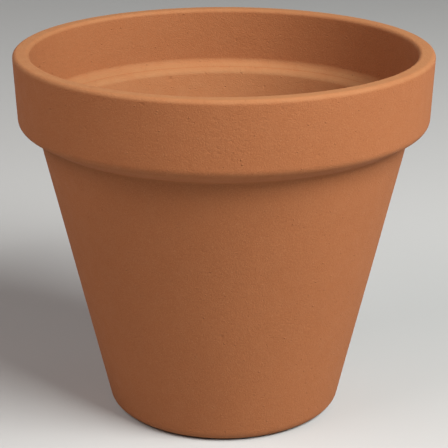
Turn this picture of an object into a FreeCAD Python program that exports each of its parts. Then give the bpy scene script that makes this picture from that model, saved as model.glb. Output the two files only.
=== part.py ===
import FreeCAD, Part
import math
import os

# Terracotta plant pot, in millimetres. It is one body of fired clay, turned round the Z axis.
# Z = 0 is the surface that it stands on, and +Z points up towards the rim.
# From the foot up: a foot ring round a shallow recess, a thick floor with one drain hole, a wall
# that widens and thins upwards, and a deep collar with a sloping underside and a ledge inside it.

# Overall size
pot_height = 188.3
rim_radius = 105.1          # outer corner of the rim, before its edge is rounded
foot_radius = 59.33         # outer corner of the foot, before its edge is rounded

# Collar
collar_height = 35.6        # from the rim down to the collar's lowest outer corner
collar_draft = 1.73         # how far the collar leans outwards over that height
collar_thickness = 8.55     # across the rim
collar_inner_draft = 1.35   # how far its inner face leans outwards, from the ledge up to the rim
shoulder_width = 10.0       # how far the collar stands out from the wall
shoulder_drop = 5.7         # how far its underside falls on the way in to the wall
ledge_height = 159.3        # outer end of the sloping ledge inside the collar
ledge_width = 7.05          # how far the ledge runs inwards
ledge_drop = 3.95           # how far it falls over that width

# Wall and floor
foot_wall_thickness = 8.4   # square to the wall, at the foot
floor_thickness = 10.0      # from the standing surface to the floor's upper face
recess_depth = 2.0          # of the recess under the floor
foot_ring_width = 10.5      # from the foot's outer corner to the recess
recess_side_run = 2.0       # how far the recess's sloping side runs inwards

# Drain hole
drain_radius = 11.0

# Edge roundings
rim_outer_rounding = 2.3
rim_inner_rounding = 2.2
collar_edge_rounding = 5.0
shoulder_root_rounding = 2.0
foot_rounding = 6.5
ledge_root_rounding = 3.5
ledge_edge_rounding = 4.2
floor_corner_rounding = 11.0
drain_top_rounding = 1.5
drain_bottom_rounding = 1.0
foot_ring_rounding = 1.0
recess_corner_rounding = 1.0


def point(radius, height):
    """A point of the section, which lies in the XZ plane."""
    return FreeCAD.Vector(radius, 0, height)


def crossing(start_a, along_a, start_b, along_b):
    """Where two lines of the section cross, each given by a point and a direction."""
    gap = start_b - start_a
    turn = along_a.x * along_b.z - along_a.z * along_b.x
    travel = (gap.x * along_b.z - gap.z * along_b.x) / turn
    return start_a + along_a * travel


def rounded_wire(corners):
    """A closed wire through (corner, rounding) pairs, each corner replaced by a tangent arc."""
    arcs = []
    for index, (corner, rounding) in enumerate(corners):
        before = (corners[index - 1][0] - corner).normalize()
        after = (corners[(index + 1) % len(corners)][0] - corner).normalize()
        half_angle = before.getAngle(after) / 2
        setback = rounding / math.tan(half_angle)
        inward = (before + after).normalize()
        middle = corner + inward * (rounding / math.sin(half_angle) - rounding)
        arcs.append((corner + before * setback, middle, corner + after * setback))
    edges = []
    for index, (start, middle, end) in enumerate(arcs):
        edges.append(Part.Arc(start, middle, end).toShape())
        next_start = arcs[(index + 1) % len(arcs)][0]
        edges.append(Part.LineSegment(end, next_start).toShape())
    return Part.Wire(edges)


def section():
    """The pot's wall, collar and floor, cut through on one side of the axis."""
    rim_outer = point(rim_radius, pot_height)
    rim_inner = point(rim_radius - collar_thickness, pot_height)
    collar_foot = point(rim_radius - collar_draft, pot_height - collar_height)
    shoulder_root = collar_foot - point(shoulder_width, shoulder_drop)
    foot = point(foot_radius, 0)

    ledge_root = point(rim_inner.x - collar_inner_draft, ledge_height)
    ledge_edge = ledge_root - point(ledge_width, ledge_drop)

    wall_line = (shoulder_root - foot).normalize()
    inner_wall_foot = foot + point(-wall_line.z, wall_line.x) * foot_wall_thickness
    inner_wall_line = ledge_edge - inner_wall_foot
    floor_level = point(0, floor_thickness)
    floor_corner = crossing(inner_wall_foot, inner_wall_line, floor_level, point(1, 0))

    ring_inner = point(foot_radius - foot_ring_width, 0)
    recess_corner = ring_inner + point(-recess_side_run, recess_depth)
    return rounded_wire([
        (point(drain_radius, floor_thickness), drain_top_rounding),
        (floor_corner, floor_corner_rounding),
        (ledge_edge, ledge_edge_rounding),
        (ledge_root, ledge_root_rounding),
        (rim_inner, rim_inner_rounding),
        (rim_outer, rim_outer_rounding),
        (collar_foot, collar_edge_rounding),
        (shoulder_root, shoulder_root_rounding),
        (foot, foot_rounding),
        (ring_inner, foot_ring_rounding),
        (recess_corner, recess_corner_rounding),
        (point(drain_radius, recess_depth), drain_bottom_rounding),
    ])


def pot_body():
    """The whole pot: its section turned once round the Z axis."""
    return Part.Face(section()).revolve(FreeCAD.Vector(0, 0, 0), FreeCAD.Vector(0, 0, 1), 360)


os.makedirs("parts", exist_ok=True)
pot = pot_body()
pot.exportStep("parts/pot_body.step")
print("pot_body valid", pot.isValid(), "solids", len(pot.Solids), "volume mm3", round(pot.Volume))
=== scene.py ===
"""Terracotta pot: one detailed mesh of fired clay, its procedural material, and a plain studio.

Lengths are in metres, in the frame that the CAD model set: Z is the pot's own axis, and Z = 0
is the surface that it stands on. The pot's height and width come from the CAD box. Angles round
the pot are in degrees from the camera's side, positive towards the viewer's right.
"""

import math
import random

import bmesh
import bpy
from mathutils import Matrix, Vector, kdtree, noise


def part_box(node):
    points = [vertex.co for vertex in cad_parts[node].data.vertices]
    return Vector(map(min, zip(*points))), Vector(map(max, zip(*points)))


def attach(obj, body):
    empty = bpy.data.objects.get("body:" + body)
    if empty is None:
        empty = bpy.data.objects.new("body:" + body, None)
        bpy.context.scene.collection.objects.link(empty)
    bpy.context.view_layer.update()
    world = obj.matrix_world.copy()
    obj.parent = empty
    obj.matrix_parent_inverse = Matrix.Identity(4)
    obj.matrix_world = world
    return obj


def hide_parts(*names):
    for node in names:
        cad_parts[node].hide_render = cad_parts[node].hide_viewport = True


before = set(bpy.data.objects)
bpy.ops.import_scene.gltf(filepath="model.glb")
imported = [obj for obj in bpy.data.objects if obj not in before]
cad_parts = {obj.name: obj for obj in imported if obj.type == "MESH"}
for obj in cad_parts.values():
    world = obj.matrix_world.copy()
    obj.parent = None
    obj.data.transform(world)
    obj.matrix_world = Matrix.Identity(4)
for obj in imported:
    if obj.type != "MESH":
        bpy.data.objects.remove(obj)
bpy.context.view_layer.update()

MM = 0.001
low_corner, high_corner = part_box("pot_body")
POT_HEIGHT = high_corner.z
RIM_RADIUS = (high_corner.x - low_corner.x) / 2

# The section's driving sizes, as in the CAD model. A corner radius is that of the corner before
# its edge is rounded, so the rim's is a little more than the box shows.
RIM_CORNER_RADIUS = RIM_RADIUS + 0.114 * MM
FOOT_CORNER_RADIUS = 59.33 * MM
COLLAR_HEIGHT = 35.6 * MM
COLLAR_DRAFT = 1.73 * MM
COLLAR_THICKNESS = 8.55 * MM
COLLAR_INNER_DRAFT = 1.35 * MM
SHOULDER_WIDTH = 10.0 * MM
SHOULDER_DROP = 5.7 * MM
LEDGE_HEIGHT = 159.3 * MM
LEDGE_WIDTH = 7.05 * MM
LEDGE_DROP = 3.95 * MM
FOOT_WALL_THICKNESS = 8.4 * MM
FLOOR_THICKNESS = 10.0 * MM
RECESS_DEPTH = 2.0 * MM
FOOT_RING_WIDTH = 10.5 * MM
RECESS_SIDE_RUN = 2.0 * MM
DRAIN_RADIUS = 11.0 * MM

# Edge roundings
RIM_OUTER_ROUNDING = 2.3 * MM
RIM_INNER_ROUNDING = 2.2 * MM
COLLAR_EDGE_ROUNDING = 5.0 * MM
SHOULDER_ROOT_ROUNDING = 2.0 * MM
FOOT_ROUNDING = 6.5 * MM
LEDGE_ROOT_ROUNDING = 3.5 * MM
LEDGE_EDGE_ROUNDING = 4.2 * MM
FLOOR_CORNER_ROUNDING = 11.0 * MM
DRAIN_TOP_ROUNDING = 1.5 * MM
DRAIN_BOTTOM_ROUNDING = 1.0 * MM
FOOT_RING_ROUNDING = 1.0 * MM
RECESS_CORNER_ROUNDING = 1.0 * MM

# A shallow groove turned into the ledge: (share of the way from root to edge, depth in mm)
LEDGE_GROOVE = ((0.67, 0.0), (0.57, 0.14), (0.47, 0.0))
GROOVE_ROUNDING = 2.0 * MM
LEDGE_WEAR_AND_HIGHLIGHT = 0.9                    # the ledge is rubbed pale, and on the lit ledge this paleness is also a painted highlight
GROOVE_WEAR_AND_HIGHLIGHT_LOSS = 5                # wear and painted highlight lost per mm of the groove's depth, which paints a shade line in the groove

# How finely the section and the turn round the axis are divided
TURN_STEPS = 288
RUN_STEP = 2.6 * MM                 # along straight stretches
GUARD_STEP = 0.5 * MM               # first step beside an edge's rounding
ARC_STEP = math.radians(9)          # round an edge
MARK_CUTS = 4                       # how often an edge is cut where a small flaw needs finer faces

# The surface's unevenness: (depth, size of the swells). It only takes clay away, so that the
# mesh stays inside the CAD box.
SWELLS = ((0.12 * MM, 60 * MM), (0.04 * MM, 9 * MM))


# ---------------------------------------------------------------- section

def crossing(start_a, along_a, start_b, along_b):
    """Where two lines of the section cross, each given by a point and a direction."""
    gap = start_b - start_a
    turn = along_a.x * along_b.y - along_a.y * along_b.x
    travel = (gap.x * along_b.y - gap.y * along_b.x) / turn
    return start_a + along_a * travel


def section_corners():
    """(corner, rounding, wear and light of the edge, wear and light of the face after it) round the
    section, with each corner as (radius, height). The value is 1 where the clay is rubbed pale or
    dusty, and on the lip top and ledge this paleness is also a painted highlight. Below 0, in a
    root, it is painted shade that makes the clay darker."""
    rim_outer = Vector((RIM_CORNER_RADIUS, POT_HEIGHT))
    rim_inner = Vector((RIM_CORNER_RADIUS - COLLAR_THICKNESS, POT_HEIGHT))
    collar_foot = Vector((RIM_CORNER_RADIUS - COLLAR_DRAFT, POT_HEIGHT - COLLAR_HEIGHT))
    shoulder_root = collar_foot - Vector((SHOULDER_WIDTH, SHOULDER_DROP))
    foot = Vector((FOOT_CORNER_RADIUS, 0))
    wall_line = (shoulder_root - foot).normalized()
    inner_wall_foot = foot + Vector((-wall_line.y, wall_line.x)) * FOOT_WALL_THICKNESS
    ledge_root = Vector((rim_inner.x - COLLAR_INNER_DRAFT, LEDGE_HEIGHT))
    ledge_edge = ledge_root - Vector((LEDGE_WIDTH, LEDGE_DROP))
    ledge_fall = ledge_edge - ledge_root
    into_clay = Vector((-ledge_fall.y, ledge_fall.x)).normalized() * MM
    groove = []
    for share, depth in LEDGE_GROOVE:
        place = ledge_root + ledge_fall * share + into_clay * depth
        groove.append((place, GROOVE_ROUNDING, LEDGE_WEAR_AND_HIGHLIGHT - GROOVE_WEAR_AND_HIGHLIGHT_LOSS * depth, LEDGE_WEAR_AND_HIGHLIGHT))
    inner_wall_line = ledge_edge - inner_wall_foot
    level = Vector((1, 0))
    floor_corner = crossing(inner_wall_foot, inner_wall_line, Vector((0, FLOOR_THICKNESS)), level)
    ring_inner = Vector((FOOT_CORNER_RADIUS - FOOT_RING_WIDTH, 0))
    recess_corner = ring_inner + Vector((-RECESS_SIDE_RUN, RECESS_DEPTH))
    return [
        (Vector((DRAIN_RADIUS, FLOOR_THICKNESS)), DRAIN_TOP_ROUNDING, 0.5, 0.3),
        (floor_corner, FLOOR_CORNER_ROUNDING, 0.0, 0.5),
        (ledge_edge, LEDGE_EDGE_ROUNDING, 1.0, LEDGE_WEAR_AND_HIGHLIGHT),
        *groove,
        (ledge_root, LEDGE_ROOT_ROUNDING, 0.6, 0.2),
        # The lip top after this corner is rubbed pale, and its paleness is also a painted highlight.
        (rim_inner, RIM_INNER_ROUNDING, 0.6, 0.8),
        (rim_outer, RIM_OUTER_ROUNDING, 0.6, 0.0),
        (collar_foot, COLLAR_EDGE_ROUNDING, 0.2, 0.0),
        # A value below 0 paints shade into the crease under the collar.
        (shoulder_root, SHOULDER_ROOT_ROUNDING, -1.0, 0.0),
        (foot, FOOT_ROUNDING, 0.3, 0.4),
        (ring_inner, FOOT_RING_ROUNDING, 0.6, 0.0),
        # A value below 0 paints shade into the recess under the foot.
        (recess_corner, RECESS_CORNER_ROUNDING, -0.6, 0.0),
        (Vector((DRAIN_RADIUS, RECESS_DEPTH)), DRAIN_BOTTOM_ROUNDING, 0.4, 0.0),
    ]


def rounding_arc(before, corner, after, rounding):
    """Points of the arc that rounds a corner, from one tangent point to the other."""
    to_before = (before - corner).normalized()
    to_after = (after - corner).normalized()
    half_angle = to_before.angle(to_after) / 2
    centre = corner + (to_before + to_after).normalized() * (rounding / math.sin(half_angle))
    start = corner + to_before * (rounding / math.tan(half_angle)) - centre
    end = corner + to_after * (rounding / math.tan(half_angle)) - centre
    sweep = start.angle(end)
    steps = max(3, math.ceil(sweep / ARC_STEP))
    points = []
    for step in range(steps + 1):
        share = step / steps
        mixed = start * math.sin((1 - share) * sweep) + end * math.sin(share * sweep)
        points.append(centre + mixed / math.sin(sweep))
    return points


def straight_run(start, end):
    """Points strictly between two tangent points, closer together beside the roundings."""
    length = (end - start).length
    inner = length - 2 * GUARD_STEP
    if inner < GUARD_STEP:
        return []
    steps = max(1, round(inner / RUN_STEP))
    travels = [GUARD_STEP + inner * step / steps for step in range(steps + 1)]
    return [start.lerp(end, travel / length) for travel in travels]


def section_outline():
    """The closed section as (radius, height, wear and painted light) points."""
    corners = section_corners()
    count = len(corners)
    arcs = []
    for index, (corner, rounding, _, _) in enumerate(corners):
        before = corners[index - 1][0]
        after = corners[(index + 1) % count][0]
        arcs.append(rounding_arc(before, corner, after, rounding))
    outline = []
    for index, arc in enumerate(arcs):
        edge_wear_and_light, face_wear_and_light = corners[index][2:]
        wear_and_light_before = corners[index - 1][3]
        for step, place in enumerate(arc):
            share = step / (len(arc) - 1)
            plain_wear_and_light = wear_and_light_before + (face_wear_and_light - wear_and_light_before) * share
            edge_share = math.sin(math.pi * share)
            wear_and_painted_light = plain_wear_and_light + (edge_wear_and_light - plain_wear_and_light) * edge_share
            outline.append((place.x, place.y, wear_and_painted_light))
        next_arc = arcs[(index + 1) % count]
        for place in straight_run(arc[-1], next_arc[0]):
            outline.append((place.x, place.y, face_wear_and_light))
    return outline


def radius_at(outline, height, outside):
    """The radius of the wall's outer or inner face at a height above the floor."""
    found = []
    for index, (radius, level, _) in enumerate(outline):
        next_radius, next_level, _ = outline[(index + 1) % len(outline)]
        if min(level, next_level) <= height < max(level, next_level):
            share = (height - level) / (next_level - level)
            found.append(radius + (next_radius - radius) * share)
    return max(found) if outside else min(found)


# ---------------------------------------------------------------- mesh

def turned_mesh(outline):
    """The section turned round the Z axis, as a mesh whose vertices carry their wear and painted light."""
    rings = len(outline)
    vertices = []
    faces = []
    wear_and_light_values = []
    for turn in range(TURN_STEPS):
        angle = math.tau * turn / TURN_STEPS
        for radius, height, wear_and_painted_light in outline:
            vertices.append((radius * math.cos(angle), radius * math.sin(angle), height))
            wear_and_light_values.append(wear_and_painted_light)
    for turn in range(TURN_STEPS):
        here = turn * rings
        there = (turn + 1) % TURN_STEPS * rings
        for ring in range(rings):
            following = (ring + 1) % rings
            faces.append((here + ring, here + following, there + following, there + ring))
    mesh = bpy.data.meshes.new("clay_pot")
    mesh.from_pydata(vertices, [], faces)
    attribute = mesh.attributes.new("wear_and_painted_light", "FLOAT", "POINT")
    attribute.data.foreach_set("value", wear_and_light_values)
    mesh.update()
    return mesh


def make_uneven(shape):
    """Sinks the surface a little, by smooth swells, as hand-finished clay is."""
    shape.normal_update()
    normals = [vertex.normal.copy() for vertex in shape.verts]
    for vertex, normal in zip(shape.verts, normals):
        sink = 0.0
        for depth, size in SWELLS:
            sink += depth * (1 - noise.noise(vertex.co / size)) / 2
        vertex.co -= normal * sink


# ---------------------------------------------------------------- small flaws

# Flaws on the side that faces the camera: (angle, height in mm, outside, radius in mm, depth in
# mm, stretch, slant in degrees from level). A depth below 0 stands proud: the short ones are
# crumbs, and the last, long one is a faint raised line.
SEEN_FLAWS = [
    (-160, 152, False, 1.4, 0.35, 1.5, -30),
    (-1, 63.5, True, 1.1, 0.32, 1.3, -20),
    (40, 36.5, True, 0.9, 0.25, 1.2, 0),
    (-20, 185, True, 0.8, 0.20, 1.4, -40),
    (14, 184, True, 0.8, 0.24, 1.2, -30),
    (24, 160.5, True, 0.8, 0.25, 1.3, 20),
    (176, 171, False, 0.8, 0.28, 1.0, 0),
    (-148, 172, False, 0.7, 0.25, 1.2, 30),
    (-37, 170, True, 0.8, 0.22, 1.6, 10),
    (16, 109, True, 0.7, -0.22, 1.0, 0),
    (-8, 72, True, 0.7, -0.22, 1.0, 0),
    (-11, 100, True, 0.7, -0.20, 1.0, 0),
    (29, 72, True, 0.7, -0.22, 1.0, 0),
    (165, 147.5, False, 0.8, 0.26, 1.2, 0),
    (19.5, 126, True, 0.6, -0.08, 16.0, 77),
]
DAPPLED_PATCH = (3, 172, 7, 9)      # middle angle and height, half width in degrees, half height in mm
DAPPLES = 16

# Bands that the scattered flaws fall in: (share, outside, lowest and highest height in mm)
FLAW_BANDS = ((0.46, True, 8, 144), (0.16, True, 159, 184), (0.26, False, 24, 150), (0.12, False, 165, 184))
SCATTERED_FLAWS = 70
CRUMB_SHARE = 0.3                   # the rest are pits
CRUMB_HEIGHT = 0.6                  # of the depth that a pit of the same radius has
FLAW_SEED = 21

# How far from a flaw's middle the faces are cut finer: a share of its size, plus a margin
CUT_REACH = 1.3
CUT_MARGIN = 1.2 * MM
SEARCH_REACH = 1.4
SEARCH_MARGIN = 2 * MM

# How far the clay moves: this share of the flaw's size, plus a margin, on one face of the wall
PRESS_REACH = 1.6
PRESS_MARGIN = 0.4 * MM
WALL_DEPTH = 3 * MM                 # less than the wall's thickness, so its other face stays

# A pit's uneven edge, and the low burr round it, in shares of the pit's radius and depth
EDGE_WAVER = 0.3
EDGE_WAVER_SIZE = 0.7
BURR_HEIGHT = 0.15
BURR_PLACE = 1.15
BURR_WIDTH = 0.2


def scattered_flaws(dice):
    """Small pits and crumbs all round the pot."""
    flaws = []
    for _ in range(SCATTERED_FLAWS):
        band = dice.choices(FLAW_BANDS, [band[0] for band in FLAW_BANDS])[0]
        radius = 0.4 + 0.6 * dice.random() ** 3
        depth = radius * dice.uniform(0.3, 0.5)
        if dice.random() < CRUMB_SHARE:
            depth = -CRUMB_HEIGHT * depth
        flaws.append((dice.uniform(-180, 180), dice.uniform(band[2], band[3]), band[1],
                      radius, depth, dice.uniform(1.0, 1.7), dice.uniform(-90, 90)))
    return flaws


def dapples(dice):
    """Shallow finger-worn dimples, close together on the front of the collar."""
    angle, height, half_width, half_height = DAPPLED_PATCH
    flaws = []
    for _ in range(DAPPLES):
        flaws.append((angle + dice.uniform(-half_width, half_width),
                      height + dice.uniform(-half_height, half_height), True,
                      dice.uniform(0.7, 1.3), dice.uniform(0.07, 0.12),
                      dice.uniform(1.2, 2.4), dice.uniform(-60, 20)))
    return flaws


def flaw_frame(outline, flaw):
    """Where a flaw lies, and its directions along, across and out of the surface."""
    angle, height, outside, radius, depth, stretch, slant = flaw
    turn = math.radians(angle)
    outward = Vector((math.sin(turn), -math.cos(turn), 0))
    level = Vector((math.cos(turn), math.sin(turn), 0))
    above = radius_at(outline, (height + 1) * MM, outside)
    below = radius_at(outline, (height - 1) * MM, outside)
    rise = (outward * (above - below) + Vector((0, 0, 2 * MM))).normalized()
    place = outward * radius_at(outline, height * MM, outside) + Vector((0, 0, height * MM))
    along = level * math.cos(math.radians(slant)) + rise * math.sin(math.radians(slant))
    normal = level.cross(rise) * (1 if outside else -1)
    return place, along, normal.cross(along), normal


def press_flaws(shape, outline, flaws):
    """Cuts finer faces where the flaws are, and moves their vertices in or out."""
    frames = [flaw_frame(outline, flaw) for flaw in flaws]
    faces = list(shape.faces)
    centres = kdtree.KDTree(len(faces))
    for index, face in enumerate(faces):
        centres.insert(face.calc_center_median(), index)
    centres.balance()
    edges = set()
    for (place, along, across, _), flaw in zip(frames, flaws):
        radius, _, stretch, _ = flaw[3:]
        half_length = radius * stretch * MM
        search = SEARCH_REACH * half_length + SEARCH_MARGIN
        for centre, index, _ in centres.find_range(place, search):
            offset = centre - place
            near_along = abs(offset.dot(along)) < CUT_REACH * half_length + CUT_MARGIN
            near_across = abs(offset.dot(across)) < CUT_REACH * radius * MM + CUT_MARGIN
            if near_along and near_across:
                edges.update(faces[index].edges)
    bmesh.ops.subdivide_edges(shape, edges=list(edges), cuts=MARK_CUTS, use_grid_fill=True)

    vertices = list(shape.verts)
    places = kdtree.KDTree(len(vertices))
    for index, vertex in enumerate(vertices):
        places.insert(vertex.co, index)
    places.balance()
    for (place, along, across, normal), flaw in zip(frames, flaws):
        radius, depth, stretch, _ = flaw[3:]
        search = PRESS_REACH * radius * stretch * MM + PRESS_MARGIN
        for co, index, _ in places.find_range(place, search):
            offset = co - place
            if abs(offset.dot(normal)) > WALL_DEPTH:
                continue
            reach = math.hypot(offset.dot(along) / stretch, offset.dot(across)) / (radius * MM)
            reach *= 1 + EDGE_WAVER * noise.noise(co / (EDGE_WAVER_SIZE * radius * MM))
            hollow = (1 - min(reach, 1) ** 2) ** 2
            burr = 0
            if depth > 0:
                burr = BURR_HEIGHT * math.exp(-((reach - BURR_PLACE) / BURR_WIDTH) ** 2)
            vertices[index].co -= normal * depth * MM * (hollow - burr)


def build_pot():
    """The whole pot: turned, marked with its flaws, and made a little uneven."""
    outline = section_outline()
    mesh = turned_mesh(outline)
    shape = bmesh.new()
    shape.from_mesh(mesh)
    dice = random.Random(FLAW_SEED)
    press_flaws(shape, outline, SEEN_FLAWS + dapples(dice) + scattered_flaws(dice))
    make_uneven(shape)
    for face in shape.faces:
        face.smooth = True
    shape.to_mesh(mesh)
    shape.free()
    pot = bpy.data.objects.new("clay_pot", mesh)
    bpy.context.scene.collection.objects.link(pot)
    return pot


# ---------------------------------------------------------------- material

CLAY = (0.306, 0.107, 0.0405)       # linear colours
DEEP_CLAY = (0.288, 0.099, 0.037)
PALE_CLAY = (0.311, 0.113, 0.044)
# Rubbed clay, also the colour of the painted highlight on the lit lip top and ledge
RUBBED_AND_HIGHLIT_CLAY = (0.318, 0.141, 0.060)
DARK_GRIT = (0.150, 0.058, 0.028)
PALE_GRIT = (0.420, 0.210, 0.110)


class Nodes:
    """Adds nodes to one material's tree."""

    def __init__(self, material):
        self.tree = material.node_tree

    def add(self, kind, settings=None, **inputs):
        """A node with its inputs set by name: a socket is linked, and a value is stored."""
        node = self.tree.nodes.new(kind)
        for name, value in (settings or {}).items():
            setattr(node, name, value)
        for name, value in inputs.items():
            self.feed(node.inputs[name.replace("_", " ")], value)
        return node

    def feed(self, socket, value):
        """Links a socket to an input, or stores a plain value in it."""
        if isinstance(value, bpy.types.NodeSocket):
            self.tree.links.new(value, socket)
        else:
            socket.default_value = value

    def noise(self, place, scale, detail, roughness=0.5):
        """Smooth noise from 0 to 1, with features of about 1 / scale metres."""
        node = self.add("ShaderNodeTexNoise", Vector=place, Scale=scale, Detail=detail, Roughness=roughness)
        return node.outputs["Fac"]

    def ramp(self, value, low, high, to_low=0.0, to_high=1.0):
        """value from low to high, turned smoothly into to_low to to_high."""
        node = self.tree.nodes.new("ShaderNodeMapRange")
        node.interpolation_type = "SMOOTHSTEP"
        for index, item in enumerate((value, low, high, to_low, to_high)):
            self.feed(node.inputs[index], item)
        return node.outputs["Result"]

    def math(self, operation, first, second):
        """The result of a sum such as MULTIPLY."""
        node = self.tree.nodes.new("ShaderNodeMath")
        node.operation = operation
        self.feed(node.inputs[0], first)
        self.feed(node.inputs[1], second)
        return node.outputs["Value"]

    def mix(self, share, first, second):
        """Colour first where share is 0, and colour second where it is 1."""
        node = self.tree.nodes.new("ShaderNodeMix")
        node.data_type = "RGBA"
        self.feed(node.inputs["Factor"], share)
        for socket, colour in ((node.inputs[6], first), (node.inputs[7], second)):
            self.feed(socket, colour if isinstance(colour, bpy.types.NodeSocket) else (*colour, 1))
        return node.outputs[2]

    def bump(self, height, distance, strength, normal=None):
        """Fine relief, laid over the relief in normal if there is any."""
        node = self.add("ShaderNodeBump", Height=height, Distance=distance, Strength=strength)
        if normal:
            self.feed(node.inputs["Normal"], normal)
        return node.outputs["Normal"]


def clay_material():
    """Fired clay: cloudy and grainy colour, paler on rubbed edges, with grit and pinholes. On the
    lit lip top and ledge the paleness is also a painted highlight, and the roots and pinholes
    are darkened with painted shade.
    """
    material = bpy.data.materials.new("fired_clay")
    material.use_nodes = True
    nodes = Nodes(material)
    shader = material.node_tree.nodes["Principled BSDF"]
    place = nodes.add("ShaderNodeTexCoord").outputs["Object"]
    wear_and_painted_light = nodes.add("ShaderNodeAttribute", {"attribute_name": "wear_and_painted_light"}).outputs["Fac"]

    clouds = nodes.noise(place, 22, 3)
    mottle = nodes.noise(place, 130, 3, 0.5)
    grain = nodes.noise(place, 800, 3, 0.6)
    powder = nodes.noise(place, 1500, 2)
    specks = nodes.noise(place, 2300, 1)
    grit = nodes.add("ShaderNodeTexVoronoi", Vector=place, Scale=520.0)
    pinholes = nodes.add("ShaderNodeTexVoronoi", Vector=place, Scale=210.0)
    crumbs = nodes.add("ShaderNodeTexVoronoi", Vector=place, Scale=330.0)

    # Colour
    colour = nodes.mix(nodes.ramp(clouds, 0.30, 0.68, 0.35, 1.0), DEEP_CLAY, CLAY)
    colour = nodes.mix(nodes.ramp(mottle, 0.40, 0.75, 0.0, 0.35), colour, PALE_CLAY)
    colour = nodes.mix(nodes.ramp(grain, 0.30, 0.62, 0.25, 0.0), colour, DEEP_CLAY)
    colour = nodes.mix(nodes.ramp(specks, 0.34, 0.54, 0.17, 0.0), colour, DARK_GRIT)
    colour = nodes.mix(nodes.ramp(specks, 0.50, 0.70, 0.0, 0.17), colour, PALE_GRIT)
    grit_tone = nodes.add("ShaderNodeSeparateColor", Color=grit.outputs["Color"]).outputs["Red"]
    grit_core = nodes.ramp(grit.outputs["Distance"], 0.10, 0.22, 1.0, 0.0)
    dark_grit = nodes.math("MULTIPLY", grit_core, nodes.ramp(grit_tone, 0.90, 0.94, 0.0, 0.30))
    pale_grit = nodes.math("MULTIPLY", grit_core, nodes.ramp(grit_tone, 0.06, 0.10, 0.30, 0.0))
    colour = nodes.mix(dark_grit, colour, DARK_GRIT)
    colour = nodes.mix(pale_grit, colour, PALE_GRIT)
    # Rubbed paleness on edges and faces; on the lit lip top and ledge it is also a painted highlight
    worn_and_highlit = nodes.math("MULTIPLY", nodes.ramp(wear_and_painted_light, 0.0, 1.0), nodes.ramp(mottle, 0.25, 0.60, 0.70, 1.0))
    colour = nodes.mix(worn_and_highlit, colour, RUBBED_AND_HIGHLIT_CLAY)
    # Painted shade: below 0, in the roots, the colour is darkened towards deep clay
    painted_root_shade = nodes.ramp(wear_and_painted_light, -1.0, 0.0, 0.6, 0.0)
    colour = nodes.mix(painted_root_shade, colour, DEEP_CLAY)
    hole = nodes.ramp(pinholes.outputs["Distance"], 0.03, 0.09, 1.0, 0.0)
    crumb_tone = nodes.add("ShaderNodeSeparateColor", Color=crumbs.outputs["Color"]).outputs["Green"]
    crumb = nodes.math("MULTIPLY", nodes.ramp(crumbs.outputs["Distance"], 0.04, 0.20, 1.0, 0.0),
                       nodes.ramp(crumb_tone, 0.78, 0.95))
    # Painted shade: the pinholes are darkened a little
    colour = nodes.mix(nodes.math("MULTIPLY", hole, 0.15), colour, DARK_GRIT)
    nodes.feed(shader.inputs["Base Color"], colour)

    # Gloss: fired clay is dull, and a little less so where it is rubbed
    dullness = nodes.ramp(mottle, 0.30, 0.70, 0.88, 0.78)
    polish = nodes.math("MULTIPLY", worn_and_highlit, 0.08)
    nodes.feed(shader.inputs["Roughness"], nodes.math("SUBTRACT", dullness, polish))
    shader.inputs["Specular IOR Level"].default_value = 0.13

    # Relief, coarsest first: leathery skin, grain, powder, crumbs, and pinholes sunk into it
    skin = nodes.bump(nodes.noise(place, 260, 1), 0.24 * MM, 0.50)
    skin = nodes.bump(grain, 0.17 * MM, 0.80, skin)
    skin = nodes.bump(powder, 0.25 * MM, 0.85, skin)
    skin = nodes.bump(crumb, 0.34 * MM, 0.90, skin)
    skin = nodes.bump(nodes.math("SUBTRACT", 1.0, hole), 0.25 * MM, 0.80, skin)
    nodes.feed(shader.inputs["Normal"], skin)
    return material


# ---------------------------------------------------------------- studio

LAMP_TARGET = Vector((0, 0, 0.1))
FLOOR_RADIUS = 1.4
FLOOR_GREY = 0.45

# The world's strength, by how far up one looks: 0 is level and 1 is straight up
HORIZON_STRENGTH = 0.42
OVERHEAD_STRENGTH = 0.02
HORIZON_TOP = 0.08
OVERHEAD_START = 0.18

CAMERA_ELEVATION = math.radians(19.08)
CAMERA_DISTANCE = 815.0 * MM
CAMERA_AIM = Vector((0, 0, 0.5056 * POT_HEIGHT))
CAMERA_LENS = 126.5                 # mm, on a sensor 36 mm wide


def add_floor():
    """A plain pale disc."""
    bpy.ops.mesh.primitive_circle_add(vertices=128, radius=FLOOR_RADIUS, fill_type="NGON")
    floor = bpy.context.object
    floor.name = "floor"
    material = bpy.data.materials.new("pale_floor")
    material.use_nodes = True
    shader = material.node_tree.nodes["Principled BSDF"]
    shader.inputs["Base Color"].default_value = (FLOOR_GREY, FLOOR_GREY, FLOOR_GREY, 1)
    shader.inputs["Roughness"].default_value = 0.9
    shader.inputs["Specular IOR Level"].default_value = 0.1
    floor.data.materials.append(material)


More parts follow.
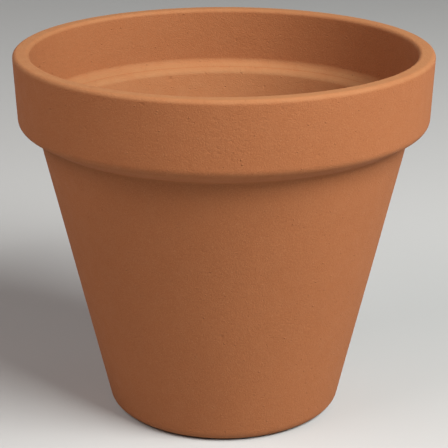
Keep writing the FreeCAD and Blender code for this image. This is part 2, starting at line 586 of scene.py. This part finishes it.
def add_softbox(name, angle, elevation, distance, width, height, power, colour=(1, 1, 1)):
    """A soft rectangular lamp that faces the pot, at an angle from the camera's side."""
    turn = math.radians(angle)
    lift = math.radians(elevation)
    heading = Vector((math.sin(turn) * math.cos(lift), -math.cos(turn) * math.cos(lift), math.sin(lift)))
    lamp = bpy.data.lights.new(name, "AREA")
    lamp.shape = "RECTANGLE"
    lamp.size = width
    lamp.size_y = height
    lamp.energy = power
    lamp.color = colour
    softbox = bpy.data.objects.new(name, lamp)
    softbox.location = LAMP_TARGET + heading * distance
    softbox.rotation_euler = heading.to_track_quat("Z", "Y").to_euler()
    bpy.context.scene.collection.objects.link(softbox)


def set_world():
    """Dim overhead and pale round the horizon, where the floor ends."""
    world = bpy.data.worlds.new("studio")
    world.use_nodes = True
    nodes = Nodes(world)
    heading = nodes.add("ShaderNodeTexCoord").outputs["Generated"]
    height = nodes.add("ShaderNodeSeparateXYZ", Vector=heading).outputs["Z"]
    strength = nodes.ramp(height, HORIZON_TOP, OVERHEAD_START, HORIZON_STRENGTH, OVERHEAD_STRENGTH)
    background = world.node_tree.nodes["Background"]
    nodes.feed(background.inputs["Strength"], strength)
    background.inputs["Color"].default_value = (1.0, 0.97, 0.95, 1)
    bpy.context.scene.world = world


def add_camera():
    """A long lens, from the front and a little above, aimed near the middle of the pot's axis."""
    heading = Vector((0, -math.cos(CAMERA_ELEVATION), math.sin(CAMERA_ELEVATION)))
    data = bpy.data.cameras.new("camera")
    data.lens = CAMERA_LENS
    camera = bpy.data.objects.new("camera", data)
    camera.location = CAMERA_AIM + CAMERA_DISTANCE * heading
    camera.rotation_euler = (math.pi / 2 - CAMERA_ELEVATION, 0, 0)
    bpy.context.scene.collection.objects.link(camera)
    bpy.context.scene.camera = camera


add_camera()
pot = build_pot()
pot.data.materials.append(clay_material())
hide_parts("pot_body")
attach(pot, "root")

add_floor()
add_softbox("key_light", angle=52, elevation=44, distance=1.8, width=1.15, height=0.78, power=63.5,
            colour=(0.98, 1.0, 0.975))
add_softbox("fill_light", angle=-60, elevation=45, distance=1.8, width=1.2, height=0.8, power=18.3,
            colour=(1.0, 0.90, 0.86))
add_softbox("back_light", angle=-145, elevation=20, distance=1.8, width=0.9, height=0.9, power=2.2)
add_softbox("edge_light", angle=112, elevation=15, distance=1.8, width=0.7, height=0.7, power=1.8)
set_world()
bpy.context.scene.view_settings.view_transform = "Standard"
